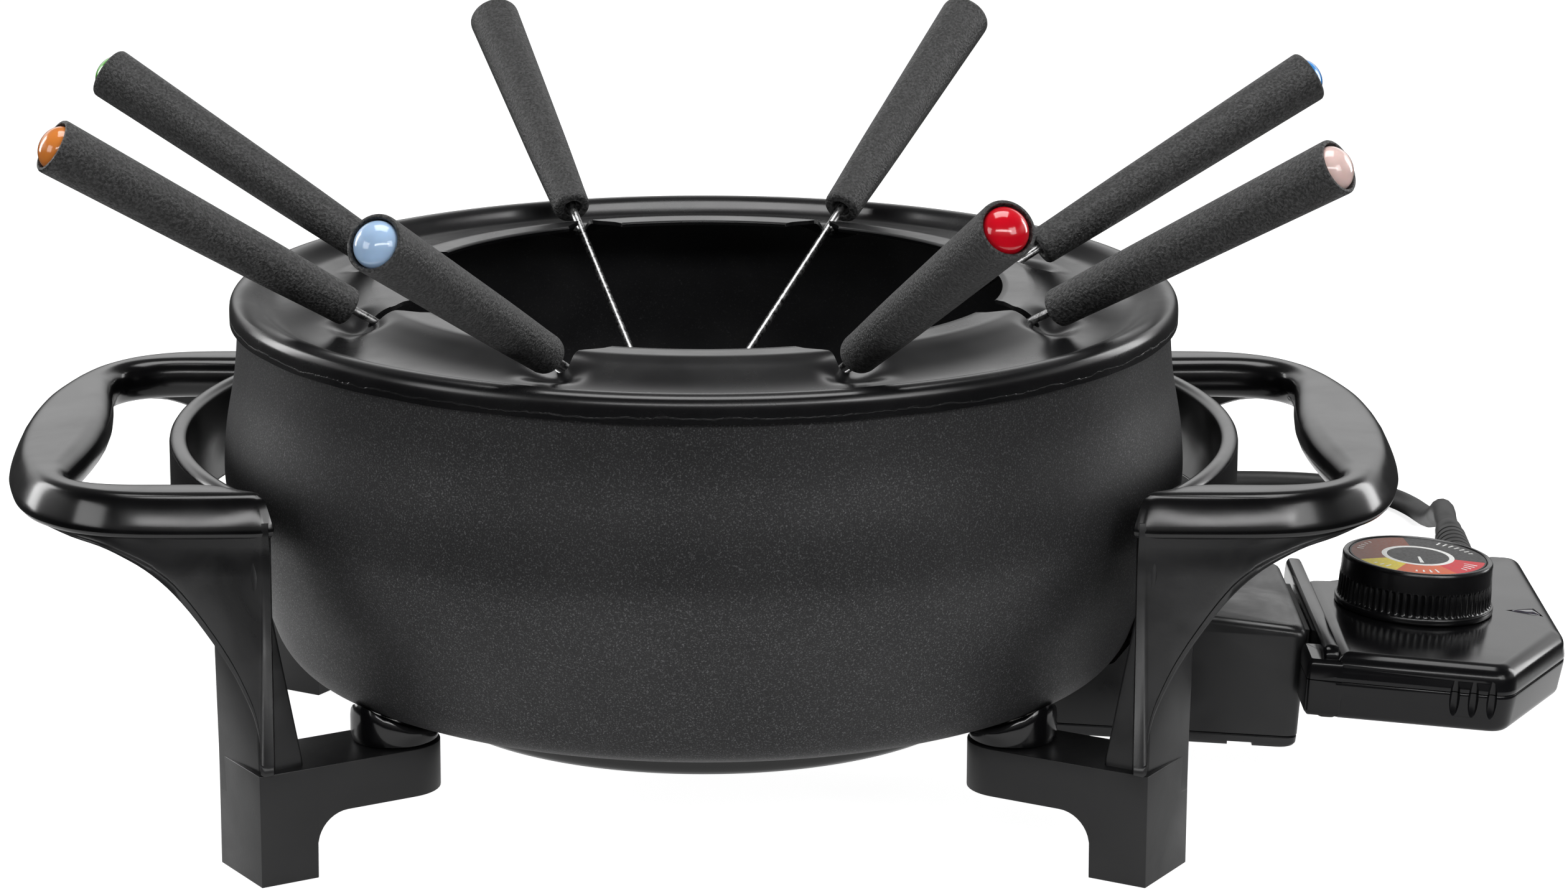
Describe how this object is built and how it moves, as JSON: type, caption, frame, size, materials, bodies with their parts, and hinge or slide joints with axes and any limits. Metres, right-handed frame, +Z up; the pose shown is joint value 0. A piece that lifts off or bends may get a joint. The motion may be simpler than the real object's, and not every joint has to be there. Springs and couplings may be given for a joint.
{
  "type": "electric fondue set",
  "caption": "Electric fondue pot on two handled side frames, with a lift-off splash ring, colour-capped forks in its notches and a plug-in thermostat with dial and cord",
  "frame": {"origin": "on the table under the centre of the set's footprint, cord left out", "axes": "+Z up, +X toward the thermostat, -Y toward the user"},
  "size_m": [0.3855, 0.4454, 0.1758],
  "materials": {
    "pot_coating": "satin speckled non-stick coating",
    "ring_coating": "satin",
    "fork_handle_moulding": "fine texture",
    "fork_steel": "polished",
    "fork_1_cap_colour": "gloss",
    "fork_2_cap_colour": "gloss",
    "fork_3_cap_colour": "gloss",
    "fork_4_cap_colour": "gloss",
    "fork_5_cap_colour": "gloss",
    "fork_6_cap_colour": "gloss",
    "fork_7_cap_colour": "gloss",
    "fork_8_cap_colour": "gloss",
    "frame_moulding": "gloss with satin legs",
    "spacer_gloss": "gloss",
    "screw_steel": "plated",
    "plinth_enamel": "gloss enamel",
    "element_sheath": "drawn tube",
    "socket_moulding": "satin",
    "socket_cover_moulding": "satin",
    "terminal_steel": "plated",
    "thermostat_moulding": "satin",
    "thermostat_lower_moulding": "satin",
    "contact_block_moulding": "matt",
    "contact_brass": "rolled",
    "probe_steel": "drawn",
    "switch_ceramic": "unglazed",
    "indicator_lens": "gloss",
    "relief_rubber": "matt",
    "knob_moulding": "satin",
    "dial_print": "printed",
    "cord_rubber": "matt",
    "plug_rubber": "matt"
  },
  "bodies": {
    "base": {"pot": "pot_coating", "heating_element": "element_sheath", "base_cover": "plinth_enamel", "side_frame_left": "frame_moulding", "side_frame_right": "frame_moulding", "spacer_front_left": "spacer_gloss", "spacer_back_left": "spacer_gloss", "spacer_front_right": "spacer_gloss", "spacer_back_right": "spacer_gloss", "screw_front_left": "screw_steel", "screw_back_left": "screw_steel", "screw_front_right": "screw_steel", "screw_back_right": "screw_steel", "socket_housing": "socket_moulding", "socket_cover": "socket_cover_moulding", "terminal_pin_1": "terminal_steel", "terminal_pin_2": "terminal_steel"},
    "splash_ring": {"splash_ring": "ring_coating"},
    "fork_1": {"fork_1_handle": "fork_handle_moulding", "fork_1_wire": "fork_steel", "fork_1_cap": "fork_1_cap_colour"},
    "fork_2": {"fork_2_handle": "fork_handle_moulding", "fork_2_wire": "fork_steel", "fork_2_cap": "fork_2_cap_colour"},
    "fork_3": {"fork_3_handle": "fork_handle_moulding", "fork_3_wire": "fork_steel", "fork_3_cap": "fork_3_cap_colour"},
    "fork_4": {"fork_4_handle": "fork_handle_moulding", "fork_4_wire": "fork_steel", "fork_4_cap": "fork_4_cap_colour"},
    "fork_5": {"fork_5_handle": "fork_handle_moulding", "fork_5_wire": "fork_steel", "fork_5_cap": "fork_5_cap_colour"},
    "fork_6": {"fork_6_handle": "fork_handle_moulding", "fork_6_wire": "fork_steel", "fork_6_cap": "fork_6_cap_colour"},
    "fork_7": {"fork_7_handle": "fork_handle_moulding", "fork_7_wire": "fork_steel", "fork_7_cap": "fork_7_cap_colour"},
    "fork_8": {"fork_8_handle": "fork_handle_moulding", "fork_8_wire": "fork_steel", "fork_8_cap": "fork_8_cap_colour"},
    "thermostat": {"thermostat_upper_shell": "thermostat_moulding", "thermostat_lower_shell": "thermostat_lower_moulding", "contact_block": "contact_block_moulding", "contact_sleeve_1": "contact_brass", "contact_sleeve_2": "contact_brass", "probe": "probe_steel", "thermostat_switch": "switch_ceramic", "indicator_lens": "indicator_lens", "strain_relief": "relief_rubber", "cord": "cord_rubber", "cord_coil": "cord_rubber", "cord_tail": "cord_rubber", "plug_body": "plug_rubber", "plug_pin_1": "terminal_steel", "plug_pin_2": "terminal_steel"},
    "knob": {"knob": "knob_moulding", "dial_disc": "dial_print", "knob_shaft": "terminal_steel"}
  },
  "joints": [
    {"name": "splash_ring_lift", "type": "slide", "parent": "base", "child": "splash_ring", "axis": [0, 0, 1], "range_m": [0, 0.08]},
    {"name": "fork_1_lift", "type": "slide", "parent": "splash_ring", "child": "fork_1", "axis": [0, 0, 1], "range_m": [0, 0.1]},
    {"name": "fork_2_lift", "type": "slide", "parent": "splash_ring", "child": "fork_2", "axis": [0, 0, 1], "range_m": [0, 0.1]},
    {"name": "fork_3_lift", "type": "slide", "parent": "splash_ring", "child": "fork_3", "axis": [0, 0, 1], "range_m": [0, 0.1]},
    {"name": "fork_4_lift", "type": "slide", "parent": "splash_ring", "child": "fork_4", "axis": [0, 0, 1], "range_m": [0, 0.1]},
    {"name": "fork_5_lift", "type": "slide", "parent": "splash_ring", "child": "fork_5", "axis": [0, 0, 1], "range_m": [0, 0.1]},
    {"name": "fork_6_lift", "type": "slide", "parent": "splash_ring", "child": "fork_6", "axis": [0, 0, 1], "range_m": [0, 0.1]},
    {"name": "fork_7_lift", "type": "slide", "parent": "splash_ring", "child": "fork_7", "axis": [0, 0, 1], "range_m": [0, 0.1]},
    {"name": "fork_8_lift", "type": "slide", "parent": "splash_ring", "child": "fork_8", "axis": [0, 0, 1], "range_m": [0, 0.1]},
    {"name": "thermostat_plug", "type": "slide", "parent": "base", "child": "thermostat", "axis": [0.998, 0, -0.0628], "range_m": [0, 0.042]},
    {"name": "knob_turn", "type": "hinge", "parent": "thermostat", "child": "knob", "pos_m": [0.15444, -0.00245, 0.03468], "axis": [0.0628, 0, 0.998], "range_deg": [0, 250]}
  ]
}
